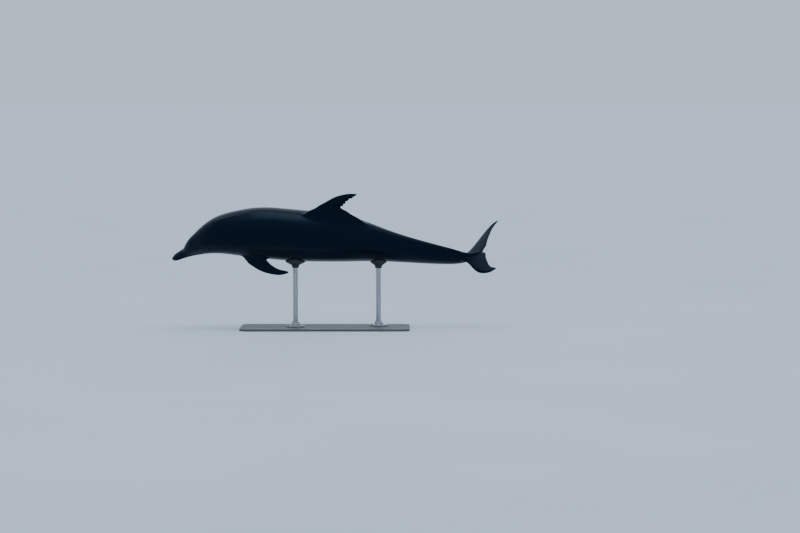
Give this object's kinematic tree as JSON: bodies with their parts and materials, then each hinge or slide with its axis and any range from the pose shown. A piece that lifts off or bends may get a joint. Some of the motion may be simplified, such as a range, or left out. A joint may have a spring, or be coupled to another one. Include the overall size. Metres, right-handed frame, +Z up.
{
  "type": "bottlenose dolphin model",
  "caption": "Life-size still model of a leaping bottlenose dolphin, banked with its tail raised, on a steel base with upright rods.",
  "frame": {"origin": "centre of the stand base's underside, on the floor", "axes": "+Z up; -X towards the animal's head and +X towards its flukes; -Y is the side to which its back is banked"},
  "size_m": [2.7931, 0.64, 1.1611],
  "materials": {
    "skin": "wet, smooth dolphin skin: near-black slate back, dark grey flanks, paler belly",
    "eye": "wet, near-black eye",
    "stand_base": "dark powder coat, satin",
    "stand_steel": "brushed, satin",
    "saddle": "matt black rubber"
  },
  "bodies": {
    "root": {"upper_beak": "skin", "lower_jaw": "skin", "melon": "skin", "head": "skin", "blowhole": "skin", "eye_left": "eye", "eye_right": "eye", "neck": "skin", "trunk_front": "skin", "trunk_middle": "skin", "trunk_rear": "skin", "tail_stock_front": "skin", "tail_stock_rear": "skin", "dorsal_fin": "skin", "flipper_left": "skin", "flipper_right": "skin", "fluke_left": "skin", "fluke_right": "skin", "stand_base": "stand_base", "stand_flange_front": "stand_steel", "stand_flange_rear": "stand_steel", "stand_rod_front": "stand_steel", "stand_rod_rear": "stand_steel", "stand_saddle_front": "saddle", "stand_saddle_rear": "saddle"}
  },
  "joints": []
}
